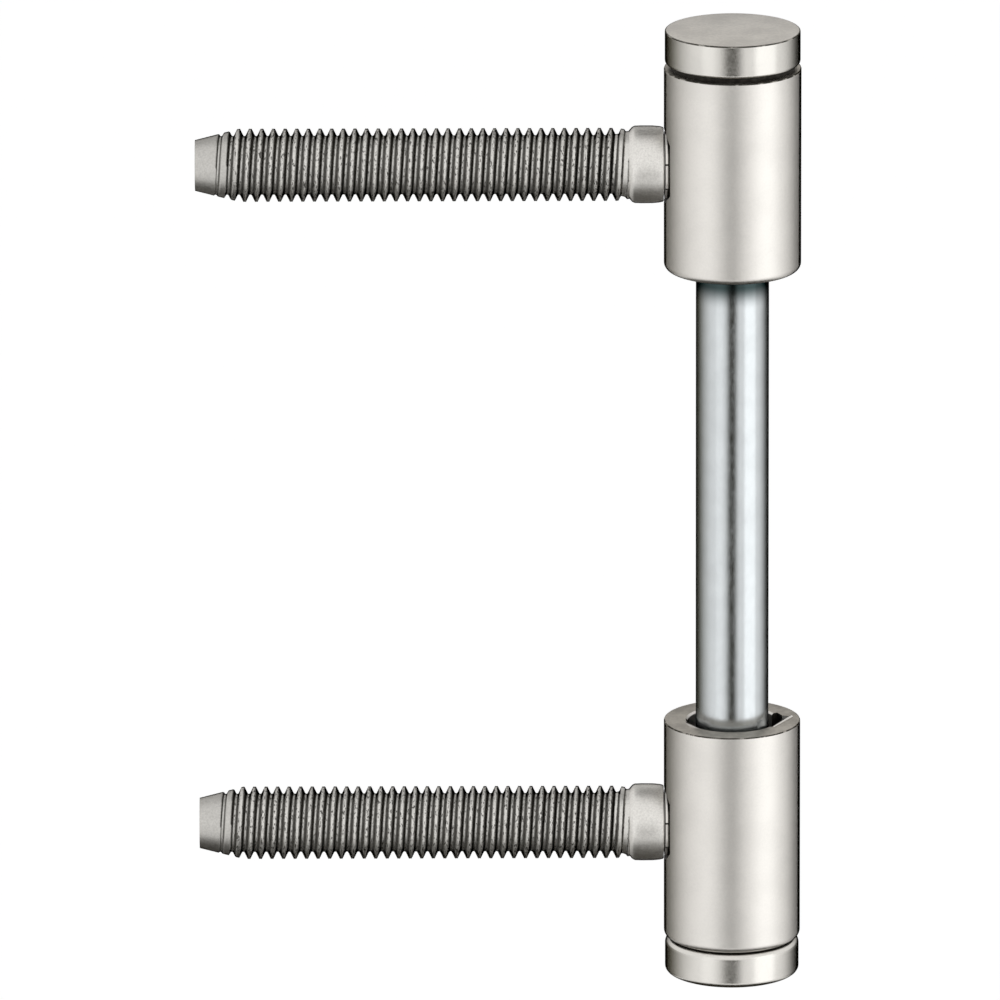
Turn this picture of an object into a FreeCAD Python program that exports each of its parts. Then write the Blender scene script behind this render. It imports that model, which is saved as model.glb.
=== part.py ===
import FreeCAD, Part
import os
import Sketcher

# A door hinge leaf part: two bored barrels, each with a screw-in stud, on one pin.
# The hinge axis is the Z axis, and the origin is midway between the barrels.
# The studs point along -X, into the edge of the door. Sizes are millimetres.

doc = FreeCAD.newDocument("hinge_leaf_part")
sheet = doc.addObject("Spreadsheet::Sheet", "sizes")

driving_sizes = {
    # barrels
    "barrel_width": 15.0,
    "barrel_bore": 9.8,
    "upper_length": 22.7,
    "lower_length": 24.85,
    "barrel_gap": 51.4,
    "foot_round": 0.8,
    "head_bevel": 0.12,
    "mouth_bevel": 0.2,
    # studs
    "stud_spacing": 75.0,
    "stud_reach": 58.65,
    "thread_width": 8.0,
    "thread_core": 6.5,
    "thread_lead": 3.0,
    "thread_start": 12.6,
    "runout_length": 0.9,
    "ridge_spacing": 1.8,
    "thread_flat": 0.4,
    "point_width": 5.55,
    "point_length": 1.85,
    "collar_width": 8.5,
    "collar_length": 3.75,
    "collar_bevel": 0.3,
    "seat_width": 8.3,
    "seat_depth": 0.65,
    "rim_width": 7.2,
    "collar_gap": 0.03,
    "spigot_width": 6.0,
    # pin
    "pin_width": 8.0,
    "pin_foot_gap": 1.0,
    "pin_point": 0.8,
    "groove_length": 1.2,
    "groove_depth": 0.3,
    # bushes
    "pin_clearance": 0.05,
    "bush_inset": 0.2,
    "bush_setback": 2.0,
    "bush_lead": 0.3,
    "bore_clearance": 0.1,
    # caps
    "top_cap_step": 0.1,
    "top_cap_height": 3.65,
    "top_cap_gap": 0.57,
    "neck_inset": 0.6,
    "socket_depth": 2.4,
    "bottom_cap_step": 0.125,
    "bottom_cap_height": 3.97,
    "cap_bevel": 0.15,
    "cap_round": 0.35,
    "foot_cap_round": 0.6,
    "foot_cap_shoulder": 0.8,
    "plug_height": 4.0,
    # keyway at the lower barrel's mouth
    "keyway_width": 1.6,
    "keyway_reach": 5.57,
    "keyway_offset": 0.755,
    "keyway_depth": 6.0,
    "keyway_turn": 25.4,
    "key_clearance": 0.1,
    "ramp_reach": 5.44,
    "ramp_drop": 0.84,
    "ramp_length": 4.5,
    "ramp_shift": 1.47,
    "ramp_turn": -27.3,
}

derived_sizes = {
    "barrel_radius": "barrel_width / 2",
    "bore_radius": "barrel_bore / 2",
    "top_cap_radius": "barrel_width / 2 - top_cap_step",
    "neck_radius": "barrel_width / 2 - top_cap_step - neck_inset",
    "bottom_cap_radius": "barrel_width / 2 - bottom_cap_step",
    "upper_foot": "barrel_gap / 2",
    "upper_head": "barrel_gap / 2 + upper_length",
    "lower_head": "-barrel_gap / 2",
    "lower_foot": "-barrel_gap / 2 - lower_length",
    "upper_stud_height": "stud_spacing / 2",
    "lower_stud_height": "-stud_spacing / 2",
    "seat_floor": "barrel_width / 2 - seat_depth",
    "collar_start": "barrel_width / 2 + collar_gap",
    "thread_run": "stud_reach - point_length - thread_lead - thread_start",
    "pin_radius": "pin_width / 2",
    "groove_radius": "pin_width / 2 - groove_depth",
    "bush_radius": "pin_width / 2 + pin_clearance",
    "plug_top": "-barrel_gap / 2 - lower_length + plug_height",
    "upper_bush_foot": "barrel_gap / 2 + bush_inset",
    "upper_bush_head": "barrel_gap / 2 + upper_length - bush_inset",
    "lower_bush_head": "-barrel_gap / 2 - bush_setback",
}


def fill_sheet():
    """One row for each size: its name, and its value under that name."""
    row = 1
    for name, value in driving_sizes.items():
        sheet.set(f"A{row}", name)
        sheet.set(f"B{row}", f"{value}")
        sheet.setAlias(f"B{row}", name)
        row += 1
    doc.recompute()
    for name, formula in derived_sizes.items():
        sheet.set(f"A{row}", name)
        sheet.set(f"B{row}", f"={formula}")
        sheet.setAlias(f"B{row}", name)
        row += 1
    doc.recompute()


def bound(text):
    """A formula of size names, with each name led by the sheet's own."""
    words = []
    for word in text.replace("(", "( ").replace(")", " )").split():
        known = word.lstrip("-") in driving_sizes or word.lstrip("-") in derived_sizes
        sign = "-" if word.startswith("-") and known else ""
        words.append(f"{sign}sizes.{word.lstrip('-')}" if known else word)
    return " ".join(words)


def value_of(text):
    """What a formula of size names comes to, as a plain number."""
    return float(sheet.evalExpression(bound(text)))


def new_body(label, height="0"):
    """A body that stands at a height on the hinge axis."""
    body = doc.addObject("PartDesign::Body", label)
    body.Label = label
    body.setExpression(".Placement.Base.z", bound(height))
    return body


def new_sketch(body, name, role):
    """A sketch on one of the body's own planes."""
    sketch = body.newObject("Sketcher::SketchObject", f"{body.Label}_{name}")
    plane = next(item for item in body.Origin.OriginFeatures if item.Role == role)
    sketch.AttachmentSupport = [(plane, "")]
    sketch.MapMode = "FlatFace"
    return sketch


def tie(sketch, kind, edge, text):
    """Hold the start of an edge at a distance from the sketch's origin along one axis."""
    distance = value_of(text)
    if text == "0":
        axis = -2 if kind == "DistanceX" else -1
        sketch.addConstraint(Sketcher.Constraint("PointOnObject", edge, 1, axis))
        return
    constraint = Sketcher.Constraint(kind, -1, 1, edge, 1, distance)
    index = sketch.addConstraint(constraint)
    name = f"{kind}{edge}"
    sketch.renameConstraint(index, name)
    sketch.setExpression(f"Constraints.{name}", bound(text))


def draw_outline(sketch, outline):
    """Draw a closed outline of straight edges, its corners given as pairs of formulas."""
    corners = [FreeCAD.Vector(value_of(across), value_of(up), 0) for across, up in outline]
    count = len(corners)
    for index, corner in enumerate(corners):
        sketch.addGeometry(Part.LineSegment(corner, corners[(index + 1) % count]), False)
    for index in range(count):
        joined = Sketcher.Constraint("Coincident", index, 2, (index + 1) % count, 1)
        sketch.addConstraint(joined)
    for index, (across, up) in enumerate(outline):
        tie(sketch, "DistanceX", index, across)
        tie(sketch, "DistanceY", index, up)


def turn(body, name, outline):
    """Turn an outline of (radius, height) pairs about the body's upright axis."""
    sketch = new_sketch(body, name, "XZ_Plane")
    draw_outline(sketch, outline)
    solid = body.newObject("PartDesign::Revolution", f"{body.Label}_{name}_turned")
    solid.Profile = sketch
    solid.ReferenceAxis = (sketch, ["V_Axis"])
    solid.Angle = 360
    doc.recompute()
    return solid


def take_away(body, feature, before):
    """Make sure that a cut has removed something and left one solid."""
    doc.recompute()
    after = feature.Shape.Volume
    if not feature.isValid() or after >= before or len(feature.Shape.Solids) != 1:
        raise RuntimeError(f"{feature.Name} cut nothing out of {body.Label}")


def finish_rim(body, kind, radius, height, amount):
    """Round or bevel the circular edges of one radius at one height on the body's axis."""
    base = body.Tip
    wanted_radius = value_of(radius)
    wanted_height = value_of(height)
    names = []
    for index, edge in enumerate(base.Shape.Edges, 1):
        curve = edge.Curve
        if not isinstance(curve, Part.Circle):
            continue
        same_radius = abs(curve.Radius - wanted_radius) < 1e-6
        same_height = abs(curve.Center.z - wanted_height) < 1e-6
        if same_radius and same_height and abs(curve.Axis.z) > 0.999:
            names.append(f"Edge{index}")
    if not names:
        raise RuntimeError(f"{body.Label} has no rim of radius {wanted_radius}")
    feature = body.newObject(f"PartDesign::{kind}", f"{body.Label}_{kind}")
    feature.Base = (base, names)
    feature.setExpression("Radius" if kind == "Fillet" else "Size", bound(amount))
    doc.recompute()


def barrel(label, foot, length, stud_height):
    """A bored barrel standing on its foot, with a round seat and a hole for its stud."""
    body = new_body(label, foot)
    wall = [
        ("bore_radius", "0"),
        ("barrel_radius", "0"),
        ("barrel_radius", length),
        ("bore_radius", length),
    ]
    before = turn(body, "wall", wall).Shape.Volume

    # the seat is sunk a little into the round side, and the hole goes on into the bore
    axis = f"{stud_height} - {foot}"
    seat = new_sketch(body, "seat", "XZ_Plane")
    outline = [
        ("-barrel_radius - seat_depth", axis),
        ("-barrel_radius - seat_depth", f"{axis} + seat_width / 2"),
        ("-seat_floor", f"{axis} + seat_width / 2"),
        ("-seat_floor", f"{axis} + spigot_width / 2"),
        ("-bore_radius / 2", f"{axis} + spigot_width / 2"),
        ("-bore_radius / 2", axis),
    ]
    draw_outline(seat, outline)
    doc.recompute()
    hole = body.newObject("PartDesign::Groove", f"{label}_stud_hole")
    hole.Profile = seat
    hole.ReferenceAxis = (seat, [f"Edge{len(outline)}"])
    hole.Angle = 360
    take_away(body, hole, before)
    return body


def make_upper_knuckle():
    body = barrel("upper_knuckle", "upper_foot", "upper_length", "upper_stud_height")
    finish_rim(body, "Fillet", "barrel_radius", "0", "foot_round")
    finish_rim(body, "Chamfer", "barrel_radius", "upper_length", "head_bevel")
    finish_rim(body, "Chamfer", "bore_radius", "0", "mouth_bevel")
    return body


def make_lower_knuckle():
    body = barrel("lower_knuckle", "lower_foot", "lower_length", "lower_stud_height")
    finish_rim(body, "Fillet", "barrel_radius", "0", "foot_round")
    finish_rim(body, "Chamfer", "barrel_radius", "lower_length", "head_bevel")
    finish_rim(body, "Chamfer", "bore_radius", "lower_length", "mouth_bevel")
    before = body.Tip.Shape.Volume

    # a straight keyway, cut down from the mouth beside the bore
    keyway = new_sketch(body, "keyway", "XY_Plane")
    keyway.setExpression(".AttachmentOffset.Base.z", bound("lower_length"))
    keyway.setExpression(".AttachmentOffset.Rotation.Angle", bound("keyway_turn"))
    outline = [
        ("bore_radius / 2", "-keyway_offset - keyway_width / 2"),
        ("keyway_reach", "-keyway_offset - keyway_width / 2"),
        ("keyway_reach", "-keyway_offset + keyway_width / 2"),
        ("bore_radius / 2", "-keyway_offset + keyway_width / 2"),
    ]
    draw_outline(keyway, outline)
    slot = body.newObject("PartDesign::Pocket", "lower_knuckle_keyway_cut")
    slot.Profile = keyway
    slot.setExpression("Length", bound("keyway_depth"))
    take_away(body, slot, before)
    before = slot.Shape.Volume

    # a short sloping ramp beside it, whose straight upper edge crosses the end face
    ramp = new_sketch(body, "ramp", "XZ_Plane")
    upright = FreeCAD.Vector(0, 1, 0)
    facing = FreeCAD.Rotation(upright, value_of("ramp_turn"))
    ramp.AttachmentOffset = FreeCAD.Placement(FreeCAD.Vector(0, 0, 0), facing)
    ramp.setExpression(".AttachmentOffset.Base.x", bound("-ramp_shift * sin( ramp_turn )"))
    ramp.setExpression(".AttachmentOffset.Base.z", bound("-ramp_shift * cos( ramp_turn )"))
    ramp.setExpression(".AttachmentOffset.Rotation.Angle", bound("ramp_turn"))
    outline = [
        ("bore_radius / 2", "lower_length - ramp_drop"),
        ("ramp_reach - ramp_drop", "lower_length - ramp_drop"),
        ("ramp_reach + ramp_drop", "lower_length + ramp_drop"),
        ("bore_radius / 2", "lower_length + ramp_drop"),
    ]
    draw_outline(ramp, outline)
    doc.recompute()
    slope = body.newObject("PartDesign::Pocket", "lower_knuckle_ramp_cut")
    slope.Profile = ramp
    slope.setExpression("Length", bound("ramp_length"))
    slope.SideType = "Symmetric"
    take_away(body, slope, before)
    return body


def make_stud(label, height):
    """A screw-in stud, drawn along its own axis from the hinge axis outward."""
    body = new_body(label, height)
    body.Placement.Rotation = FreeCAD.Rotation(FreeCAD.Vector(0, 1, 0), -90)
    body.setExpression(".Placement.Base.z", bound(height))
    inner = "bore_radius + bore_clearance"
    collar_end = "collar_start + collar_length"

    # the thread is a row of plain ridges with sharp crests, between two narrow flats
    ridge_run = "( thread_run - 2 * thread_flat )"
    ridge_count = round(value_of(f"{ridge_run} / ridge_spacing"))
    first_root = "thread_start + thread_flat"
    ridges = [("thread_width / 2", "thread_start"), ("thread_width / 2", first_root)]
    for index in range(ridge_count):
        root = f"{first_root} + {ridge_run} * {2 * index + 1} / {2 * ridge_count}"
        crest = f"{first_root} + {ridge_run} * {index + 1} / {ridge_count}"
        ridges += [("thread_core / 2", root), ("thread_width / 2", crest)]
    outline = [
        ("0", inner),
        ("spigot_width / 2", inner),
        ("spigot_width / 2", "seat_floor"),
        ("rim_width / 2", "seat_floor"),
        ("rim_width / 2", "collar_start"),
        ("collar_width / 2 - collar_bevel", "collar_start"),
        ("collar_width / 2", "collar_start + collar_bevel"),
        ("collar_width / 2", f"{collar_end} - collar_bevel"),
        ("collar_width / 2 - collar_bevel", collar_end),
        ("thread_core / 2", collar_end),
        ("thread_core / 2", "thread_start - runout_length / 2"),
        *ridges,
        ("thread_width / 2", "thread_start + thread_run"),
        ("thread_core / 2", "stud_reach - point_length"),
        ("point_width / 2", "stud_reach"),
        ("0", "stud_reach"),
    ]
    turn(body, "section", outline)
    return body


def make_hinge_pin():
    """The pin, from its point in the lower barrel to its head in the cap's socket."""
    body = new_body("hinge_pin")
    point = "plug_top + pin_foot_gap"
    upper_groove = "upper_bush_foot + groove_length"
    lower_groove = "lower_bush_head - groove_length"
    outline = [
        ("0", point),
        ("pin_radius - pin_point", point),
        ("pin_radius", f"{point} + pin_point"),
        ("pin_radius", lower_groove),
        ("groove_radius", f"{lower_groove} + groove_depth"),
        ("groove_radius", "lower_bush_head - groove_depth"),
        ("pin_radius", "lower_bush_head"),
        ("pin_radius", "upper_bush_foot"),
        ("groove_radius", "upper_bush_foot + groove_depth"),
        ("groove_radius", f"{upper_groove} - groove_depth"),
        ("pin_radius", upper_groove),
        ("pin_radius", "upper_head + socket_depth"),
        ("0", "upper_head + socket_depth"),
    ]
    turn(body, "section", outline)
    return body


def make_top_cap():
    """A thick disc on a narrower neck, with a socket below for the pin."""
    body = new_body("top_cap", "upper_head")
    face = "top_cap_gap + top_cap_height"
    outline = [
        ("pin_radius", "0"),
        ("neck_radius", "0"),
        ("neck_radius", "top_cap_gap"),
        ("top_cap_radius", "top_cap_gap"),
        ("top_cap_radius", face),
        ("0", face),
        ("0", "socket_depth"),
        ("pin_radius", "socket_depth"),
    ]
    turn(body, "section", outline)
    finish_rim(body, "Chamfer", "top_cap_radius", face, "cap_bevel")
    finish_rim(body, "Fillet", "top_cap_radius", "top_cap_gap", "cap_round")
    return body


def make_bottom_cap():
    """A disc under the lower barrel, with a plug that is pressed into the bore."""
    body = new_body("bottom_cap", "lower_foot")
    outline = [
        ("0", "-bottom_cap_height"),
        ("bottom_cap_radius", "-bottom_cap_height"),
        ("bottom_cap_radius", "0"),
        ("bore_radius", "0"),
        ("bore_radius", "plug_height"),
        ("0", "plug_height"),
    ]
    turn(body, "section", outline)
    finish_rim(body, "Fillet", "bottom_cap_radius", "-bottom_cap_height", "foot_cap_round")
    finish_rim(body, "Fillet", "bottom_cap_radius", "0", "foot_cap_shoulder")
    return body


def bush(label, foot, head):
    """A thin bush that fills the bore around the pin, with a lead-in at each end."""
    body = new_body(label, foot)
    length = f"{head} - {foot}"
    outline = [
        ("bush_radius + bush_lead", "0"),
        ("bore_radius", "0"),
        ("bore_radius", length),
        ("bush_radius + bush_lead", length),
        ("bush_radius", f"{length} - bush_lead"),
        ("bush_radius", "bush_lead"),
    ]
    turn(body, "section", outline)
    return body


def make_upper_bush():
    return bush("upper_bush", "upper_bush_foot", "upper_bush_head")


def make_lower_bush():
    body = bush("lower_bush", "plug_top", "lower_bush_head")
    before = body.Tip.Shape.Volume

    # its key stands in the keyway and stops short of the keyway's floor and sides
    key = new_sketch(body, "key", "XY_Plane")
    key.setExpression(".AttachmentOffset.Base.z", bound("lower_bush_head - plug_top"))
    key.setExpression(".AttachmentOffset.Rotation.Angle", bound("keyway_turn"))
    inside = "bore_radius - bush_lead"
    outside = "keyway_reach - key_clearance"
    near_side = "-keyway_offset - keyway_width / 2 + key_clearance"
    far_side = "-keyway_offset + keyway_width / 2 - key_clearance"
    outline = [
        (inside, near_side),
        (outside, near_side),
        (outside, far_side),
        (inside, far_side),
    ]
    draw_outline(key, outline)
    rib = body.newObject("PartDesign::Pad", "lower_bush_key_rib")
    rib.Profile = key
    rib.Reversed = True
    rib.setExpression("Length", bound("keyway_depth - bush_setback - key_clearance"))
    doc.recompute()
    if rib.Shape.Volume <= before or len(rib.Shape.Solids) != 1:
        raise RuntimeError("the key doesn't stand on the lower bush")
    return body


fill_sheet()
pieces = [
    make_upper_knuckle(),
    make_lower_knuckle(),
    make_stud("upper_stud", "upper_stud_height"),
    make_stud("lower_stud", "lower_stud_height"),
    make_hinge_pin(),
    make_top_cap(),
    make_bottom_cap(),
    make_upper_bush(),
    make_lower_bush(),
]
doc.recompute()

for item in doc.Objects:
    if "Invalid" in item.State or "Error" in item.State:
        raise RuntimeError(f"{item.Name} could not be worked out: {item.State}")
for piece in pieces:
    if piece.Shape.isNull() or not piece.Shape.isValid() or len(piece.Shape.Solids) != 1:
        raise RuntimeError(f"{piece.Label} is not one sound solid")

os.makedirs("parts", exist_ok=True)
for piece in pieces:
    piece.Shape.exportStep(f"parts/{piece.Label}.step")
    print(f"{piece.Label}: {piece.Shape.Volume:.1f} cubic mm")
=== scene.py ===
import math

import bmesh
import bpy
from mathutils import Matrix, Vector


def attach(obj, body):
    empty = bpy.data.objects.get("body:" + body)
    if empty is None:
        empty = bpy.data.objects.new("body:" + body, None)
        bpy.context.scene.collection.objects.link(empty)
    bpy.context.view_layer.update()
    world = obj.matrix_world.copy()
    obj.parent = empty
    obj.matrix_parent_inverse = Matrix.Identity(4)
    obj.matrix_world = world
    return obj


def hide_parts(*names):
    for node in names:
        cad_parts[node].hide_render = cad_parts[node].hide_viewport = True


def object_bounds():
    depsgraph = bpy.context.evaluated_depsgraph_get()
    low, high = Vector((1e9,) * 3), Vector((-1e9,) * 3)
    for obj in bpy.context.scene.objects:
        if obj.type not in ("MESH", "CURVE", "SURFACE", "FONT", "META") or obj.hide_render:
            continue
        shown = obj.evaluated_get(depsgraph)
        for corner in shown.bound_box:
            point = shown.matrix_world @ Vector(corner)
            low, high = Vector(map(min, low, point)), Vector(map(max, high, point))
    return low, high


# %% [markdown]
# # A screw-in door hinge, half of it
#
# This part is one leaf of a barrel hinge: two bored steel barrels in satin nickel,
# a threaded stud in the side of each, and a zinc-plated pin with a cap that joins them.
# The CAD model gives every solid its place and size, in metres, with the hinge axis on Z
# and the studs along -X. Blender's job is what the CAD leaves out: the rolled thread,
# the soft edges, the seams, and the way plated metal takes the light.

# %% Load the fixed frame and remember its box
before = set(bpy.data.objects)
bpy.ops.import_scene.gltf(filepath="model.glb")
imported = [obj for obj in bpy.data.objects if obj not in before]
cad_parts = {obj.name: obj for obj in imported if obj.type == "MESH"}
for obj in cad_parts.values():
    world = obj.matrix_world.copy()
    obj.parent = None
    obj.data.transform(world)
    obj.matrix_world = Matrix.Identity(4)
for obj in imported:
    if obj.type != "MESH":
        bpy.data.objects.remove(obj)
cad_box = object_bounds()
mm = 0.001
print("CAD nodes:", ", ".join(sorted(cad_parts)))
print("CAD box in mm:", [[round(value / mm, 2) for value in corner] for corner in cad_box])

# %% [markdown]
# ## The camera
#
# The photograph looks slightly down on an upright part, and the barrels' end faces are
# flat ellipses. A very long lens from far away gives those ellipses and keeps the
# barrels' sides parallel. A shifted lens could do the same, but a shift would follow
# the camera into every other view, so the camera is simply tilted. It also rolls by 0.15
# degrees, which shares out the lean that perspective gives the upright pin.

# %% Stand the camera where the photograph was taken
aim = Vector((-25.47 * mm, 0.0, -0.56 * mm))
camera_distance = 2.0
camera_height = math.radians(16.0)
camera_roll = math.radians(-0.15)
away = Vector((0.0, -math.cos(camera_height), math.sin(camera_height)))
camera_data = bpy.data.cameras.new("photo_camera")
camera_data.lens = 656.5
camera_data.sensor_width = 36.0
camera_data.clip_start = 0.05
camera_data.clip_end = 50.0
camera = bpy.data.objects.new("photo_camera", camera_data)
camera.location = aim + away * camera_distance
camera.rotation_mode = "ZYX"
camera.rotation_euler = (math.pi / 2 - camera_height, 0.0, camera_roll)
bpy.context.scene.collection.objects.link(camera)
bpy.context.scene.camera = camera
bpy.context.scene.view_settings.view_transform = "Standard"
print("camera at", [round(value, 3) for value in camera.location])

# %% [markdown]
# ## Small helpers for node trees
#
# Every finish below is a short tree of nodes. These helpers add a node, set its values
# and wire its inputs, so that a finish reads as a list of steps.


# %% Helpers that add and wire nodes
def add_node(tree, kind, inputs=None, **settings):
    """Add a node, set its settings, and set or wire its inputs."""
    node = tree.nodes.new(kind)
    for name, value in settings.items():
        setattr(node, name, value)
    for key, value in (inputs or {}).items():
        if isinstance(value, bpy.types.NodeSocket):
            tree.links.new(value, node.inputs[key])
        else:
            node.inputs[key].default_value = value
    return node


def maths(tree, operation, first, second, third=0.0):
    """One sum on two or three numbers or sockets."""
    values = {0: first, 1: second, 2: third}
    return add_node(tree, "ShaderNodeMath", values, operation=operation).outputs[0]


def step_between(tree, value, low, high):
    """A soft step from 0 at one value to 1 at another."""
    ends = {"Value": value, "From Min": low, "From Max": high}
    node = add_node(tree, "ShaderNodeMapRange", ends, interpolation_type="SMOOTHSTEP")
    return node.outputs["Result"]


def band_between(tree, value, rise, fall):
    """A soft band that rises to 1 over one pair of values and falls to 0 over another."""
    return maths(tree, "MULTIPLY", step_between(tree, value, *rise),
                 step_between(tree, value, fall[1], fall[0]))


def spread(tree, value, low, high, first, last):
    """Map one range of values to another, in a straight line."""
    ends = {"Value": value, "From Min": low, "From Max": high, "To Min": first, "To Max": last}
    return add_node(tree, "ShaderNodeMapRange", ends).outputs["Result"]


def noise(tree, place, scale, detail, roughness):
    """A cloudy pattern between 0 and 1."""
    values = {"Vector": place, "Scale": scale, "Detail": detail, "Roughness": roughness}
    return add_node(tree, "ShaderNodeTexNoise", values).outputs["Fac"]


def seen_rays(tree):
    """1 for what the camera sees, straight, in a reflection or through something clear."""
    rays = add_node(tree, "ShaderNodeLightPath").outputs
    seen = maths(tree, "MAXIMUM", rays["Is Camera Ray"], rays["Is Glossy Ray"])
    return maths(tree, "MAXIMUM", seen, rays["Is Transmission Ray"])


def mix_colours(tree, factor, first, second):
    """Mix two colours by a factor."""
    node = add_node(tree, "ShaderNodeMix", data_type="RGBA")
    sockets = [item for item in node.inputs if item.enabled]
    for socket, value in zip(sockets, (factor, first, second)):
        if isinstance(value, bpy.types.NodeSocket):
            tree.links.new(value, socket)
        else:
            socket.default_value = value
    return next(item for item in node.outputs if item.enabled)


def ramp(tree, factor, stops):
    """A smooth scale between two colours along a factor."""
    node = add_node(tree, "ShaderNodeValToRGB", {"Fac": factor})
    node.color_ramp.interpolation = "EASE"
    for element, (place, colour) in zip(node.color_ramp.elements, stops):
        element.position = place
        element.color = (*colour, 1)
    return node.outputs["Color"]


def new_material(name):
    """An empty node material, with its output and its Object coordinates."""
    material = bpy.data.materials.new(name)
    material.use_nodes = True
    tree = material.node_tree
    tree.nodes.clear()
    output = add_node(tree, "ShaderNodeOutputMaterial")
    place = add_node(tree, "ShaderNodeTexCoord").outputs["Object"]
    return material, tree, output, place


# %% [markdown]
# ## The studio
#
# The part hangs in a white room: the world and the floor are white to the camera and to
# the metal. Two soft lamps stand left and right of the camera. Plain white all round
# would make metal look like paper, so a photographer puts dark cards round it, and each
# shiny cylinder then shows soft dark stripes. The cards here are seen in reflections only.

# %% A white world
world = bpy.data.worlds.new("white_room")
bpy.context.scene.world = world
world.use_nodes = True
world.cycles.sampling_method = "NONE"
world_tree = world.node_tree
world_tree.nodes.clear()
unseen_strength = 0.65
strength = maths(world_tree, "MULTIPLY_ADD", seen_rays(world_tree), 1.0 - unseen_strength,
                 unseen_strength)
background = add_node(world_tree, "ShaderNodeBackground",
                      {"Color": (1.0, 1.0, 1.0, 1.0), "Strength": strength})
world_output = add_node(world_tree, "ShaderNodeOutputWorld")
world_tree.links.new(background.outputs[0], world_output.inputs["Surface"])
print("world: white, strength 1 where it is seen")

# %% The floor, well below the part
floor_drop = 0.5
floor_level = cad_box[0][2] - floor_drop
floor_mesh = bmesh.new()
bmesh.ops.create_grid(floor_mesh, x_segments=1, y_segments=1, size=8.0)
bmesh.ops.translate(floor_mesh, verts=floor_mesh.verts, vec=(0, 0, floor_level))
floor_data = bpy.data.meshes.new("floor")
floor_mesh.to_mesh(floor_data)
floor_mesh.free()
floor = bpy.data.objects.new("floor", floor_data)
bpy.context.scene.collection.objects.link(floor)

floor_paint, tree, output, _ = new_material("floor_paint")
floor_glow = maths(tree, "MULTIPLY", seen_rays(tree), 0.45)
matt = add_node(tree, "ShaderNodeBsdfDiffuse", {"Color": (0.85, 0.85, 0.85, 1)})
lift = add_node(tree, "ShaderNodeEmission", {"Strength": floor_glow})
both = add_node(tree, "ShaderNodeAddShader", {0: matt.outputs[0], 1: lift.outputs[0]})
tree.links.new(both.outputs[0], output.inputs["Surface"])
floor_data.materials.append(floor_paint)
print("floor at", round(floor_level, 3))


# %% Two soft lamps
def soft_lamp(name, turn, width, tall, radiance):
    """A soft box that faces the hinge axis, turned round it by an angle seen from above."""
    distance = 0.9
    height = -0.05
    data = bpy.data.lights.new(name, "AREA")
    data.shape = "RECTANGLE"
    data.size = width
    data.size_y = tall
    data.energy = radiance * math.pi * width * tall
    lamp = bpy.data.objects.new(name, data)
    angle = math.radians(turn)
    lamp.location = (math.sin(angle) * distance, -math.cos(angle) * distance, height)
    lamp.rotation_euler = (math.pi / 2, 0.0, angle)
    data.color = (0.965, 0.985, 1.0)
    lamp.visible_camera = False
    bpy.context.scene.collection.objects.link(lamp)
    return lamp


right_lamp = soft_lamp("right_soft_box", 58.0, 0.64, 0.95, 0.55)
left_lamp = soft_lamp("left_soft_box", -42.0, 0.36, 0.9, 0.2)
print("lamps:", right_lamp.name, left_lamp.name)


# %% Dark cards that only the reflections see
def hang_card(bm, name, shade, cover_of):
    """Make a card from a mesh. A function tells how much it covers at each place."""
    data = bpy.data.meshes.new(name)
    bm.to_mesh(data)
    bm.free()
    material, tree, output, place = new_material(name)
    glow = add_node(tree, "ShaderNodeEmission", {"Color": (*shade, 1), "Strength": 1.0})
    clear = add_node(tree, "ShaderNodeBsdfTransparent")
    cover = {0: cover_of(tree, place), 1: clear.outputs[0], 2: glow.outputs[0]}
    mixed = add_node(tree, "ShaderNodeMixShader", cover)
    tree.links.new(mixed.outputs[0], output.inputs["Surface"])
    data.materials.append(material)
    card = bpy.data.objects.new(name, data)
    bpy.context.scene.collection.objects.link(card)
    card.visible_camera = False
    card.visible_diffuse = False
    card.visible_shadow = False
    card.visible_transmission = False
    return card


def curved_card(name, start, end, fades, bottom, top, shade, radius):
    """A curved card round the hinge axis, with soft sides, a soft foot and a soft head."""
    foot_fade = 0.06
    head_fade = 0.1
    bm = bmesh.new()
    first = math.radians(start)
    rod = [bm.verts.new((math.sin(first) * radius, -math.cos(first) * radius, height))
           for height in (bottom, top)]
    edge = bm.edges.new(rod)
    bmesh.ops.spin(
        bm, geom=rod + [edge], cent=(0, 0, 0), axis=(0, 0, 1),
        angle=math.radians(end - start), steps=24,
    )

    def cover_of(tree, place):
        middle = math.radians((start + end) / 2)
        turned = add_node(tree, "ShaderNodeVectorRotate", {"Vector": place, "Angle": -middle},
                          rotation_type="Z_AXIS")
        part = add_node(tree, "ShaderNodeSeparateXYZ", {0: turned.outputs[0]})
        back = maths(tree, "MULTIPLY", part.outputs["Y"], -1.0)
        angle = maths(tree, "ARCTAN2", part.outputs["X"], back)
        half = math.radians((end - start) / 2)
        first_fade, last_fade = (math.radians(fade) for fade in fades)
        across = band_between(tree, angle, (-half, -half + first_fade), (half - last_fade, half))
        upwards = band_between(tree, part.outputs["Z"], (bottom, bottom + foot_fade),
                               (top - head_fade, top))
        return maths(tree, "MULTIPLY", across, upwards)

    return hang_card(bm, name, shade, cover_of)


def round_card(name, place_at, facing, size, shade):
    """A round card, dark in its middle and clear at its rim, that lies across a direction."""
    bm = bmesh.new()
    bmesh.ops.create_circle(bm, cap_ends=True, segments=64, radius=size)
    turn = Vector(facing).to_track_quat("Z", "Y").to_matrix()
    bmesh.ops.rotate(bm, verts=bm.verts, cent=(0, 0, 0), matrix=turn)
    bmesh.ops.translate(bm, verts=bm.verts, vec=place_at)

    def cover_of(tree, place):
        offset = add_node(tree, "ShaderNodeVectorMath", {0: place, 1: place_at},
                          operation="DISTANCE").outputs["Value"]
        return step_between(tree, offset, size, size * 0.6)

    return hang_card(bm, name, shade, cover_of)


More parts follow.
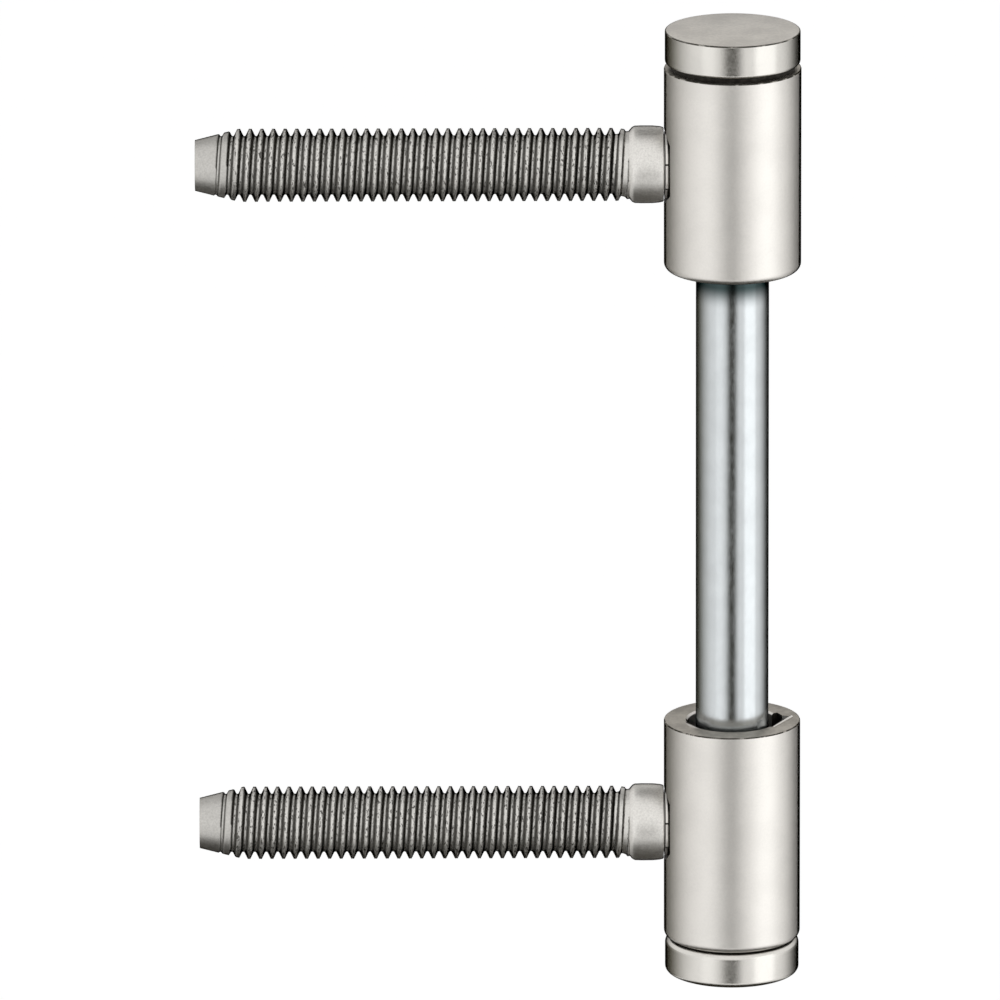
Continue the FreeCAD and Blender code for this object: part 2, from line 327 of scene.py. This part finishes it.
# arcs are in degrees, seen from above, with 0 towards the camera; lengths are in metres
cards = [
    curved_card("middle_card", -27, 22, (22, 19), -0.34, 0.02, (0.04, 0.038, 0.028), 0.6),
    curved_card("left_card", -178, -58, (4, 86), -0.5, 0.02, (0.1, 0.092, 0.06), 0.7),
    curved_card("right_card", 84, 178, (64, 4), -0.5, 0.02, (0.03, 0.028, 0.02), 0.7),
    curved_card("back_card", 136, 224, (22, 22), -0.5, 0.02, (0.005, 0.005, 0.004), 0.75),
    round_card("under_card", (-0.02, 0.0, -0.4), (0, 0, 1), 0.48, (0.03, 0.026, 0.018)),
    round_card("upper_back_card", (-0.02, 0.26, 0.5), (0, -0.5, -0.9), 0.26, (0.05, 0.05, 0.045)),
]
print("cards:", ", ".join(card.name for card in cards))

# %% [markdown]
# ## Finishes
#
# Satin nickel is a warm, pale metal with a fine grain. Its reflections are wide and soft,
# so its roughness is high for a metal. A dark tint at grazing angles gives the thin dark
# outline that plated steel has. The end faces were cut and not polished, so they get a
# duller finish of their own, with coarser marks; their colour is painted as well, lighter
# on the cap's top as painted light and darker on the barrels' ends as painted shade. Where
# the plating is worn off a sharp edge, it shows dark in patches, and the edge as a whole is
# painted darker than the side, as painted shade. Each face of a mesh can have its own
# material, so these finishes sit side by side on one piece. A satin surface also looks
# glossier where it turns away from the eye, so the roughness falls there, and the dark
# outline is crisp.


# %% Steps that several finishes share
gloss_starts, gloss_full = 0.7, 0.82


def glossier_at_edges(tree, roughness, amount):
    """Lower a roughness where the surface turns away from the eye."""
    turned = add_node(tree, "ShaderNodeLayerWeight", {"Blend": 0.5}).outputs["Facing"]
    edge = step_between(tree, turned, gloss_starts, gloss_full)
    return maths(tree, "MULTIPLY", roughness, maths(tree, "MULTIPLY_ADD", edge, -amount, 1.0))


def end_finish(tree, output, tint, roughness, height, bump, edge_tint=1.0, metallic=1.0,
               relief_depth=0.00003):
    """The last steps of a finish: a bumped surface, wired to the material's output."""
    relief = add_node(tree, "ShaderNodeBump",
                      {"Height": height, "Strength": bump, "Distance": relief_depth})
    surface = add_node(tree, "ShaderNodeBsdfPrincipled",
                       {"Base Color": tint, "Roughness": roughness, "Normal": relief.outputs[0],
                        "Metallic": metallic,
                        "Specular Tint": (edge_tint, edge_tint, edge_tint, 1.0)})
    tree.links.new(surface.outputs[0], output.inputs["Surface"])


print("edge gloss comes in between", gloss_starts, "and", gloss_full, "of the way to grazing")


# %% Satin nickel for the turned sides
def satin_nickel(name, colour, roughness, edge_tint=0.0, speckle=0.035, coarseness=3600.0,
                 bump=0.14, edge_gloss=0.8):
    """Plated finish: fine grain and faint cloudy patches, dark where it turns away."""
    material, tree, output, place = new_material(name)
    grain = noise(tree, place, coarseness, 3.0, 0.6)
    cloud = noise(tree, place, 260.0, 4.0, 0.55)
    pale = tuple(min(value * (1 + speckle), 1.0) for value in colour)
    dull = tuple(value * (1 - speckle) for value in colour)
    mixed = maths(tree, "MULTIPLY_ADD", grain, 0.45, maths(tree, "MULTIPLY", cloud, 0.55))
    tint = ramp(tree, mixed, [(0.36, dull), (0.64, pale)])
    rough = spread(tree, grain, 0.25, 0.75, roughness - 0.03, roughness + 0.04)
    if edge_gloss:
        rough = glossier_at_edges(tree, rough, edge_gloss)
    end_finish(tree, output, tint, rough, grain, bump, edge_tint)
    return material


barrel_nickel = satin_nickel("barrel_nickel", (0.76, 0.735, 0.695), 0.38)
cap_nickel = satin_nickel("cap_nickel", (0.675, 0.655, 0.615), 0.21)
foot_nickel = satin_nickel("foot_nickel", (0.70, 0.678, 0.638), 0.23)
print("made", barrel_nickel.name, cap_nickel.name, foot_nickel.name)

# %% Duller nickel for the flat end faces, painted lighter on the cap's top and darker on the barrels' ends
cap_top_painted_light = satin_nickel("cap_top_painted_light", (0.77, 0.735, 0.68), 0.34, edge_tint=0.46, speckle=0.1,
                        coarseness=2600.0, bump=0.24, edge_gloss=0.0)
cut_face_painted_shade = satin_nickel("cut_face_painted_shade", (0.53, 0.50, 0.45), 0.38, edge_tint=0.3, speckle=0.16,
                        coarseness=1700.0, bump=0.3, edge_gloss=0.0)
print("made", cap_top_painted_light.name, "and", cut_face_painted_shade.name)


# %% Worn plating and painted shade along the sharp edges
def worn_and_shaded_plating(name):
    """Dark bare steel, with patches of nickel left on it; the whole edge is darker than the
    side, as painted shade.
    """
    material, tree, output, place = new_material(name)
    patches = noise(tree, place, 900.0, 4.0, 0.65)
    left = step_between(tree, patches, 0.5, 0.62)
    bare_steel, old_nickel = (0.07, 0.065, 0.055, 1.0), (0.42, 0.40, 0.36, 1.0)
    tint = mix_colours(tree, left, bare_steel, old_nickel)
    end_finish(tree, output, tint, 0.45, patches, 0.3, edge_tint=0.2)
    return material


worn_and_shaded_edge = worn_and_shaded_plating("worn_and_shaded_edge")
print("made", worn_and_shaded_edge.name)


# %% Blue-white zinc for the pin
def zinc_plate(name, colour, roughness):
    """Bright zinc: smooth and bluish, with fine marks that show in the dark stripe,
    and a band of painted shade where it enters each barrel.
    """
    material, tree, output, place = new_material(name)
    stretched = add_node(tree, "ShaderNodeMapping", {"Vector": place, "Scale": (1.0, 1.0, 0.35)})
    flecks = noise(tree, stretched.outputs[0], 2600.0, 5.0, 0.7)
    haze = noise(tree, place, 340.0, 3.0, 0.5)
    clean = ramp(tree, haze,
                 [(0.3, tuple(value * 0.96 for value in colour)),
                  (0.7, tuple(min(value * 1.03, 1.0) for value in colour))])
    # painted shade and painted reflection: a dark band where the pin enters each barrel stands in
    # for the barrel's shadow and the dark bore mirrored in the pin, and fades out inside the
    # barrel
    level = add_node(tree, "ShaderNodeSeparateXYZ", {0: place}).outputs["Z"]
    upper_painted_shade = band_between(tree, level, (0.0219, 0.0246), (0.027, 0.031))
    lower_painted_shade = band_between(tree, level, (-0.0256, -0.0268), (-0.0285, -0.032))
    pin_painted_shade = maths(tree, "MULTIPLY", maths(tree, "MAXIMUM", upper_painted_shade, lower_painted_shade), 0.96)
    tint = mix_colours(tree, pin_painted_shade, clean, (0.02, 0.04, 0.04, 1.0))
    rough = spread(tree, flecks, 0.3, 0.7, roughness - 0.04, roughness + 0.06)
    end_finish(tree, output, tint, rough, flecks, 0.25, edge_tint=0.0, relief_depth=0.00002)
    return material


pin_zinc = zinc_plate("pin_zinc", (0.605, 0.632, 0.642), 0.19)
print("made", pin_zinc.name)


# %% Stud steel: rolled thread with painted shade on its flanks
smooth_tip_end = -0.0549


def stud_steel(name):
    """Dull nickel on rolled steel. An attribute of painted shade darkens the flanks of the
    thread, and leaves the crest and a thin line in the root light, as painted highlights.
    """
    material, tree, output, place = new_material(name)
    # depth holds the thread's painted shade, not its depth
    depth = add_node(tree, "ShaderNodeAttribute", attribute_name="thread_painted_shade").outputs["Fac"]
    grain = noise(tree, place, 4600.0, 4.0, 0.65)
    bright = ramp(tree, grain, [(0.3, (0.70, 0.68, 0.645)), (0.7, (0.86, 0.84, 0.80))])
    dark = ramp(tree, grain, [(0.3, (0.02, 0.019, 0.016)), (0.75, (0.09, 0.085, 0.075))])
    # dark dashes run round the thread: the collar carries no painted shade, so no dashes, and the
    # tip is smooth
    drawn = add_node(tree, "ShaderNodeMapping", {"Vector": place, "Scale": (1.0, 0.3, 0.3)})
    dashes = step_between(tree, noise(tree, drawn.outputs[0], 7500.0, 2.0, 0.6), 0.54, 0.61)
    along = add_node(tree, "ShaderNodeSeparateXYZ", {0: place}).outputs["X"]
    past_tip = maths(tree, "GREATER_THAN", along, smooth_tip_end)
    on_thread = maths(tree, "MULTIPLY", maths(tree, "GREATER_THAN", depth, 0.1), past_tip)
    marks = maths(tree, "MULTIPLY", dashes, maths(tree, "MULTIPLY", on_thread, 0.92))
    tint = mix_colours(tree, maths(tree, "MAXIMUM", depth, marks), bright, dark)
    rough = glossier_at_edges(tree, spread(tree, grain, 0.3, 0.7, 0.4, 0.5), 0.75)
    end_finish(tree, output, tint, rough, grain, 0.35, edge_tint=0.02)
    return material


thread_steel = stud_steel("thread_steel")
print("made", thread_steel.name)


# %% Painted shade for seams and recesses, and moulded plastic
def plain_dark(name, colour, roughness, metallic):
    """A dark surface with a fine mottle: painted shade for gaps and recesses, and black plastic.
    """
    material, tree, output, place = new_material(name)
    mottle = noise(tree, place, 1800.0, 4.0, 0.6)
    tint = ramp(tree, mottle,
                [(0.3, tuple(value * 0.6 for value in colour)),
                 (0.75, tuple(value * 1.5 for value in colour))])
    end_finish(tree, output, tint, roughness, mottle, 0.3, metallic=metallic)
    return material


painted_shade_dark = plain_dark("painted_shade_dark", (0.035, 0.032, 0.028), 0.6, 1.0)
bush_plastic = plain_dark("bush_plastic_black", (0.02, 0.02, 0.021), 0.5, 0.0)
for node in ("upper_bush", "lower_bush"):
    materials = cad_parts[node].data.materials
    materials.clear()
    materials.append(bush_plastic)
print("made", painted_shade_dark.name, "and", bush_plastic.name)

# %% [markdown]
# ## Turned pieces
#
# Barrels, caps and pin all come off a lathe, so each starts as an outline of half its
# section. Spinning the outline round the hinge axis makes the solid. Beveling the ring
# edges afterwards gives every rim the small radius that catches the light. An extra point
# beside each bevel keeps the tall side straight in the shading, because smooth shading
# would otherwise spread the rim's lean over the whole side.


# %% Helpers for turning, for rims and for cutting
def turn_outline(outline, steps=256):
    """Spin an outline of (radius, height) pairs, in mm, round the Z axis into a closed solid."""
    bm = bmesh.new()
    points = [bm.verts.new((radius * mm, 0.0, height * mm)) for radius, height in outline]
    closed = outline[0][0] > 0 and outline[-1][0] > 0
    pairs = list(zip(points, points[1:]))
    if closed:
        pairs.append((points[-1], points[0]))
    edges = [bm.edges.new(pair) for pair in pairs]
    bmesh.ops.spin(
        bm, geom=points + edges, cent=(0, 0, 0), axis=(0, 0, 1),
        angle=math.tau, steps=steps, use_merge=True,
    )
    bmesh.ops.remove_doubles(bm, verts=bm.verts, dist=1e-7)
    bmesh.ops.recalc_face_normals(bm, faces=bm.faces)
    return bm


def bevel_rim(bm, radius, height, width, segments):
    """Bevel the ring edge at one radius and height, in mm."""
    near = 2e-6

    def on_rim(vert):
        reach = math.hypot(vert.co.x, vert.co.y)
        return abs(reach - radius * mm) < near and abs(vert.co.z - height * mm) < near

    ring = [edge for edge in bm.edges if all(on_rim(vert) for vert in edge.verts)]
    bmesh.ops.bevel(
        bm, geom=ring, offset=width * mm, segments=segments, profile=0.5,
        affect="EDGES", clamp_overlap=True, material=-1,
    )


def turn_by(bm, degrees, axis):
    """Turn a whole mesh round an axis of the frame."""
    bmesh.ops.rotate(bm, verts=bm.verts, cent=(0, 0, 0),
                     matrix=Matrix.Rotation(math.radians(degrees), 3, axis))


def finish_piece(bm, name, body, materials, replaces=None, sharp=35.0):
    """Turn a bmesh into a smooth-shaded object that rides on its body."""
    data = bpy.data.meshes.new(name)
    bm.to_mesh(data)
    bm.free()
    for material in materials:
        data.materials.append(material)
    data.shade_smooth()
    data.set_sharp_from_angle(angle=math.radians(sharp))
    piece = bpy.data.objects.new(name, data)
    bpy.context.scene.collection.objects.link(piece)
    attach(piece, body)
    if replaces:
        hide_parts(replaces)
    print(name, len(data.polygons), "faces")
    return piece


def cut_away(bm, cutters):
    """Cut closed shapes out of a solid and return the result as a new bmesh."""
    data = bpy.data.meshes.new("blank")
    bm.to_mesh(data)
    bm.free()
    blank = bpy.data.objects.new("blank", data)
    bpy.context.scene.collection.objects.link(blank)
    tools = []
    for index, cutter in enumerate(cutters):
        tool_data = bpy.data.meshes.new(f"cutter_{index}")
        cutter.to_mesh(tool_data)
        cutter.free()
        tool = bpy.data.objects.new(f"cutter_{index}", tool_data)
        bpy.context.scene.collection.objects.link(tool)
        modifier = blank.modifiers.new(f"cut_{index}", "BOOLEAN")
        modifier.operation = "DIFFERENCE"
        modifier.solver = "EXACT"
        modifier.object = tool
        tools.append(tool)
    view = bpy.context.evaluated_depsgraph_get()
    result = bmesh.new()
    result.from_object(blank, view)
    for item in tools + [blank]:
        mesh = item.data
        bpy.data.objects.remove(item)
        bpy.data.meshes.remove(mesh)
    return result


# %% [markdown]
# ## The barrels
#
# Each barrel is a tube. Its lower rim is rounded and its upper rim nearly sharp. A round
# seat is sunk into its side for the stud, and the lower barrel's mouth has a keyway and a
# short ramp. Booleans cut these, because they meet a curved wall.

# %% Cutters for the seat, the keyway and the ramp
barrel_radius = 7.5
bore_radius = 4.9
barrel_top = 48.4
upper_foot = 25.7
mouth_level = -25.7
barrel_bottom = -50.55
stud_height = 37.5
seat_radius = 4.15
seat_floor = 6.85


def seat_cutter(height):
    """A round bar across the barrel's side that leaves a flat floor for the stud."""
    length = 4.0
    bm = bmesh.new()
    bmesh.ops.create_cone(bm, cap_ends=True, segments=96, radius1=seat_radius * mm,
                          radius2=seat_radius * mm, depth=length * mm)
    turn_by(bm, 90, "Y")
    bmesh.ops.translate(bm, verts=bm.verts,
                        vec=((-seat_floor - length / 2) * mm, 0, height * mm))
    return bm


def keyway_cutter():
    """A narrow block beside the bore, cut down 6 mm from the mouth."""
    size = [value * mm for value in (3.12, 1.6, 8)]
    middle = [value * mm for value in (4.01, -0.755, mouth_level - 2)]
    bm = bmesh.new()
    bmesh.ops.create_cube(bm, size=1.0)
    bmesh.ops.scale(bm, verts=bm.verts, vec=size)
    bmesh.ops.translate(bm, verts=bm.verts, vec=middle)
    turn_by(bm, 25.4, "Z")
    return bm


def ramp_cutter():
    """A wedge with one sloping side, whose top edge crosses the end face."""
    corners = [(2.45, -0.84), (4.6, -0.84), (6.28, 0.84), (2.45, 0.84)]
    near_side = -0.78
    length = 4.5
    bm = bmesh.new()
    ring = [bm.verts.new((x * mm, near_side * mm, (mouth_level + z) * mm)) for x, z in corners]
    side = bm.faces.new(ring)
    grown = bmesh.ops.extrude_face_region(bm, geom=[side])
    moved = [item for item in grown["geom"] if isinstance(item, bmesh.types.BMVert)]
    bmesh.ops.translate(bm, verts=moved, vec=(0, length * mm, 0))
    bmesh.ops.recalc_face_normals(bm, faces=bm.faces)
    turn_by(bm, -27.3, "Z")
    return bm


# %% The two barrels
foot_round = 0.8
head_round = 0.12
bore_chamfer = 0.2
beside_bevel = 0.04
plain_part, painted_shade_part, end_part, worn_and_shaded_part = range(4)


def make_barrel(name, foot, head, height, node, extra_cutters, seam=0.0):
    """A tube with its rims eased, the stud's seat sunk in, and any mouth details cut."""
    bm = turn_outline([(bore_radius, foot), (barrel_radius, foot),
                       (barrel_radius, foot + foot_round + beside_bevel),
                       (barrel_radius, head - head_round - beside_bevel), (barrel_radius, head),
                       (bore_radius, head), (bore_radius, head - 2.0)])
    bevel_rim(bm, barrel_radius, foot, foot_round, segments=8)
    bevel_rim(bm, barrel_radius, head, head_round, segments=2)
    bevel_rim(bm, bore_radius, foot, bore_chamfer, segments=1)
    bevel_rim(bm, bore_radius, head, bore_chamfer, segments=1)
    bm = cut_away(bm, [seat_cutter(height)] + extra_cutters)
    for face in bm.faces:
        middle = face.calc_center_median() / mm
        reach = math.hypot(middle.x, middle.y)
        in_bore = reach < bore_radius + 0.02 and middle.z < head - 1.9
        in_keyway = bore_radius < reach < 6.2 and foot + 1 < middle.z < head - 0.9
        in_seat = abs(middle.x + seat_floor) < 0.01 and abs(face.normal.x) > 0.9
        from_stud = math.hypot(middle.y, middle.z - height)
        on_seat_wall = (abs(from_stud - seat_radius) < 0.05 and abs(face.normal.x) < 0.3
                        and middle.x < -seat_floor + 0.05)
        in_seam = middle.z < foot + seam
        on_end = face.normal.z > 0.98 and middle.z > head - 0.02
        on_edge = middle.z > head - 0.13 and reach > barrel_radius - 0.13
        # painted shade: the bore, the keyway, the stud's seat with its wall, and the seam at the
        # lower barrel's foot take the dark finish
        if in_bore or in_keyway or in_seat or on_seat_wall or in_seam:
            face.material_index = painted_shade_part
        elif on_end:
            face.material_index = end_part
        elif on_edge:
            face.material_index = worn_and_shaded_part
        else:
            face.material_index = plain_part
    finishes = [barrel_nickel, painted_shade_dark, cut_face_painted_shade, worn_and_shaded_edge]
    finish_piece(bm, name, "leaf", finishes, node)


make_barrel("upper_barrel", upper_foot, barrel_top, stud_height, "upper_knuckle", [])
make_barrel("lower_barrel", barrel_bottom, mouth_level, -stud_height, "lower_knuckle",
            [keyway_cutter(), ramp_cutter()], seam=0.12)

# %% [markdown]
# ## Burrs
#
# A cutter can leave a thin bead of raised metal along an edge. Two of them catch the light
# at the lower barrel's mouth: a straight one on the ramp's edge and a curved one on part of
# the bore's rim. A bevel only takes metal away, so each bead is a slim piece of its own,
# half sunk in the end face.


# %% Burrs at the lower barrel's mouth
def straight_burr(start, end, radius):
    """A thin bead of metal pushed up along a straight edge between two plan points."""
    first, last = Vector((*start, mouth_level)), Vector((*end, mouth_level))
    bm = bmesh.new()
    bmesh.ops.create_cone(bm, cap_ends=True, segments=12, radius1=radius * 0.5 * mm,
                          radius2=radius * mm, depth=(last - first).length * mm)
    turn = (last - first).to_track_quat("Z", "Y").to_matrix()
    bmesh.ops.rotate(bm, verts=bm.verts, cent=(0, 0, 0), matrix=turn)
    bmesh.ops.translate(bm, verts=bm.verts, vec=(first + last) / 2 * mm)
    return bm


def rim_burr(start, end, ring_radius, width, lift):
    """A flat bead that follows the bore's rim from one angle to another, and tapers off."""
    bm = bmesh.new()
    bmesh.ops.create_circle(bm, cap_ends=False, segments=10, radius=1.0)
    for vert in bm.verts:
        across, up = vert.co.x * width, vert.co.y * lift
        vert.co = Vector(((ring_radius + across) * mm, 0.0, (mouth_level + up) * mm))
    turn_by(bm, start, "Z")
    bmesh.ops.spin(bm, geom=bm.verts[:] + bm.edges[:], cent=(0, 0, 0), axis=(0, 0, 1),
                   angle=math.radians(end - start), steps=24)
    bmesh.ops.holes_fill(bm, edges=[edge for edge in bm.edges if edge.is_boundary], sides=0)
    for vert in bm.verts:
        angle = math.degrees(math.atan2(vert.co.y, vert.co.x)) % 360
        along = (angle - start) / (end - start)
        size = max(math.sin(math.pi * min(max(along, 0.02), 0.98)), 0.0)
        reach = math.hypot(vert.co.x, vert.co.y)
        held = ring_radius * mm + (reach - ring_radius * mm) * size
        vert.co.x *= held / reach
        vert.co.y *= held / reach
        vert.co.z = mouth_level * mm + (vert.co.z - mouth_level * mm) * size
    bmesh.ops.recalc_face_normals(bm, faces=bm.faces)
    return bm


finish_piece(straight_burr((4.49, -3.17), (6.54, 0.81), 0.2), "ramp_burr", "leaf",
             [barrel_nickel])
finish_piece(rim_burr(190, 228, 5.2, 0.3, 0.09), "rim_burr", "leaf",
             [barrel_nickel])

# %% [markdown]
# ## Caps and pin
#
# The top cap stands on a narrower neck, and the gap between reads as a black line. The
# bottom cap's upper rim is rounded, which makes the groove under the lower barrel. The
# neck, the pin's socket and the groove take a dark finish, as painted shade.

# %% The top cap and its dark neck
pin_radius = 4.0
pin_top = 50.8
neck_radius = 6.8
cap_radius = 7.4
cap_bottom = 48.97
cap_top = 52.62
cap_bottom_round = 0.35
cap_top_round = 0.15
cap_mesh = turn_outline([(pin_radius, barrel_top), (neck_radius, barrel_top),
                         (neck_radius, cap_bottom), (cap_radius, cap_bottom),
                         (cap_radius, cap_bottom + cap_bottom_round + beside_bevel),
                         (cap_radius, cap_top - cap_top_round - beside_bevel),
                         (cap_radius, cap_top), (0.0, cap_top), (0.0, pin_top),
                         (pin_radius, pin_top)])
bevel_rim(cap_mesh, cap_radius, cap_top, cap_top_round, segments=3)
bevel_rim(cap_mesh, cap_radius, cap_bottom, cap_bottom_round, segments=5)
for face in cap_mesh.faces:
    middle = face.calc_center_median() / mm
    in_socket = math.hypot(middle.x, middle.y) < pin_radius + 0.01 and middle.z < pin_top + 0.7
    # painted shade: the neck under the cap and the pin's socket take the dark finish
    if middle.z < cap_bottom + 0.01 or in_socket:
        face.material_index = painted_shade_part
    elif face.normal.z > 0.98:
        face.material_index = end_part
    elif middle.z > cap_top - 0.14 and face.normal.z < 0.8:
        face.material_index = worn_and_shaded_part
    else:
        face.material_index = plain_part
finish_piece(cap_mesh, "top_disc", "pin",
             [cap_nickel, painted_shade_dark, cap_top_painted_light, worn_and_shaded_edge], "top_cap")

# %% The bottom cap
foot_radius = 7.375
foot_bottom = -54.52
foot_bottom_round = 0.6
foot_top_round = 0.8
plug_top = -46.55
foot_mesh = turn_outline([(0.0, foot_bottom), (foot_radius, foot_bottom),
                          (foot_radius, foot_bottom + foot_bottom_round + beside_bevel),
                          (foot_radius, barrel_bottom - foot_top_round - beside_bevel),
                          (foot_radius, barrel_bottom), (bore_radius, barrel_bottom),
                          (bore_radius, plug_top), (0.0, plug_top)])
bevel_rim(foot_mesh, foot_radius, foot_bottom, foot_bottom_round, segments=6)
bevel_rim(foot_mesh, foot_radius, barrel_bottom, foot_top_round, segments=8)
for face in foot_mesh.faces:
    # painted shade: the faces in the groove under the lower barrel take the dark finish
    in_groove = face.calc_center_median().z / mm > barrel_bottom - 0.01
    face.material_index = painted_shade_part if in_groove else plain_part
finish_piece(foot_mesh, "foot_disc", "leaf", [foot_nickel, painted_shade_dark],
             "bottom_cap")

# %% The pin
pin_tip = -45.55
pin_chamfer = 0.8
groove_depth = 0.3
groove_length = 1.2


def groove_from(low):
    """A shallow groove round the pin, with sloping sides."""
    floor_radius = pin_radius - groove_depth
    return [(pin_radius, low), (floor_radius, low + groove_depth),
            (floor_radius, low + groove_length - groove_depth), (pin_radius, low + groove_length)]


pin_mesh = turn_outline([(0.0, pin_tip), (pin_radius - pin_chamfer, pin_tip),
                         (pin_radius, pin_tip + pin_chamfer), *groove_from(-28.9),
                         *groove_from(25.9), (pin_radius, pin_top), (0.0, pin_top)])
finish_piece(pin_mesh, "pin_rod", "pin", [pin_zinc], "hinge_pin")

# %% [markdown]
# ## The threaded studs
#
# A rolled thread is one ridge wound round a rod. Spinning a zigzag line one full turn
# while it slides along by one pitch makes the whole ridge at once: the end of the turn
# meets its start one tooth further on. The tapered tip and the run-out at the collar are
# then only limits on how far out a point may stand.

# %% The thread's section and its limits
pixels_per_mm = 9.107
pixels_per_pitch = 11.56
hinge_axis_column = 731.6
first_crest_column = 241.0
pitch = pixels_per_pitch / pixels_per_mm
first_crest = -(hinge_axis_column - first_crest_column) / pixels_per_mm
root_radius = 3.2
crest_radius = 4.0
stud_tip = -58.65
tip_shade_end = stud_tip + 4.5
collar_face = -11.28
tooth = [(-0.175, 3.92), (-0.14, 3.985), (-0.06, 4.0), (0.0, 3.965), (0.06, 4.0), (0.14, 3.985),
         (0.175, 3.92), (0.3, 3.66), (0.44, 3.37), (0.51, 3.25), (0.57, 3.21), (0.635, 3.2),
         (0.70, 3.21), (0.76, 3.25), (0.83, 3.37), (0.97, 3.66)]


def shade_of(along, radius):
    """How dark the painted shade is: light on the crest line, dark on the flanks, and a thin
    pale line in the root; the light crest and root line are painted highlights.
    """
    if radius > 3.9:
        return 0.12 if abs(along) < 0.15 else 0.45
    if radius < 3.205:
        return 0.12
    if radius < 3.22:
        return 0.5
    return 1.0 if along < 0.6 else 0.86


def limit_radius(x, radius):
    """The tip's cone holds the ridge down, and the run-out lifts the root at the collar."""
    tip_radius, tip_slope = 2.775, 0.253
    crest_falls_from, crest_slope = -12.7, 0.16
    root_rises_from, root_slope = -13.07, 0.272
    cone = tip_radius + tip_slope * (x - stud_tip)
    ceiling = crest_radius - crest_slope * max(x - crest_falls_from, 0.0)
    floor = root_radius + root_slope * max(x - root_rises_from, 0.0)
    return min(max(min(radius, ceiling), floor), cone)


print("pitch", round(pitch, 4), "mm,", len(tooth), "points to a tooth")


# %% Wind the thread
def wind_thread(height):
    """The wound ridge of one stud, cut flat at the tip and at the collar."""
    turns = range(-5, 36)
    steps = 72
    bm = bmesh.new()
    dark = bm.verts.layers.float.new("thread_painted_shade")
    up = Vector((0.0, math.sin(camera_height), math.cos(camera_height)))
    line = []
    for index in turns:
        for along, radius in tooth:
            x = first_crest + index * pitch + along
            point = bm.verts.new(Vector((x, 0, 0)) * mm + up * radius * mm)
            point[dark] = shade_of(along, radius)
            line.append(point)
    edges = [bm.edges.new(pair) for pair in zip(line, line[1:])]
    bmesh.ops.spin(
        bm, geom=line + edges, cent=(0, 0, 0), axis=(1, 0, 0), dvec=(-pitch / steps * mm, 0, 0),
        angle=math.tau, steps=steps, use_merge=False,
    )
    bmesh.ops.remove_doubles(bm, verts=bm.verts, dist=2e-6)
    for vert in bm.verts:
        reach = math.hypot(vert.co.y, vert.co.z) / mm
        held = limit_radius(vert.co.x / mm, reach)
        vert.co.y *= held / reach
        vert.co.z *= held / reach
        # where a limit moves a point, its painted shade is set again: 0.3 on the tip, 0.08 on the
        # run-out
        if held < reach - 0.004 or held > reach + 0.02:
            vert[dark] = 0.3 if vert.co.x / mm < tip_shade_end else 0.08
    for plane, side in ((stud_tip, -1), (collar_face, 1)):
        bmesh.ops.bisect_plane(
            bm, geom=bm.verts[:] + bm.edges[:] + bm.faces[:], dist=1e-7,
            plane_co=(plane * mm, 0, 0), plane_no=(side, 0, 0), clear_outer=True,
        )
    rims = [edge for edge in bm.edges if edge.is_boundary]
    bmesh.ops.holes_fill(bm, edges=rims, sides=0)
    bmesh.ops.recalc_face_normals(bm, faces=bm.faces)
    bmesh.ops.translate(bm, verts=bm.verts, vec=(0, 0, height * mm))
    print("thread faces", len(bm.faces), "open edges", sum(edge.is_boundary for edge in bm.edges))
    return bm


def lay_on_stud(bm, height):
    """Lay a piece that was turned on Z along the stud, so that its height points along -X."""
    turn_by(bm, -90, "Y")
    bmesh.ops.translate(bm, verts=bm.verts, vec=(0, 0, height * mm))
    return bm


def collar_mesh(height):
    """The collar, a little barrelled, with the rim and spigot behind it."""
    outline = [(0.0, 5.0), (3.0, 5.0), (3.0, 6.85), (3.3, 6.85), (3.3, 7.53), (3.98, 7.53),
               (4.08, 7.6), (4.17, 7.95), (4.24, 8.7), (4.25, 10.0), (4.22, 10.7), (4.08, 10.98),
               (3.72, 11.3), (0.0, 11.3)]
    return lay_on_stud(turn_outline(outline, steps=128), height)


def staked_rim(height):
    """The rim of metal pushed over where the stud enters the barrel, uneven from the press."""
    outline = [(3.3, 6.86), (3.62, 6.86), (3.68, 7.07), (3.74, 7.12), (3.75, 7.25), (3.7, 7.33),
               (3.64, 7.36), (3.6, 7.47), (3.3, 7.49)]
    bm = turn_outline(outline, steps=120)

    def wave_at(point):
        angle = math.atan2(point.y, point.x)
        return (math.sin(angle * 9 + 1.3) * 0.5 + math.sin(angle * 23 + 0.4) * 0.3
                + math.sin(angle * 41) * 0.2)

    # painted shade: the rim is dark at both sides, for the gaps beside it, and light only along a
    # band across its middle that a wave breaks up unevenly
    for face in bm.faces:
        middle = face.calc_center_median()
        bare = 7.08 < middle.z / mm < 7.34 and wave_at(middle) < 0.72
        face.material_index = plain_part if bare else painted_shade_part
    for vert in bm.verts:
        reach = math.hypot(vert.co.x, vert.co.y) / mm
        if reach > 3.4:
            scale = (reach + wave_at(vert.co) * 0.05) / reach
            vert.co.x *= scale
            vert.co.y *= scale
    return lay_on_stud(bm, height)


for level, side in (("upper", 1), ("lower", -1)):
    height = side * stud_height
    stud_pieces = [
        finish_piece(wind_thread(height), f"{level}_thread", "leaf",
                     [thread_steel], f"{level}_stud", sharp=50.0),
        finish_piece(collar_mesh(height), f"{level}_collar", "leaf", [thread_steel]),
        finish_piece(staked_rim(height), f"{level}_staked_rim", "leaf",
                     [barrel_nickel, painted_shade_dark]),
    ]
    # the photograph shows no image of the stud in the barrel's side
    for piece in stud_pieces:
        piece.visible_glossy = False
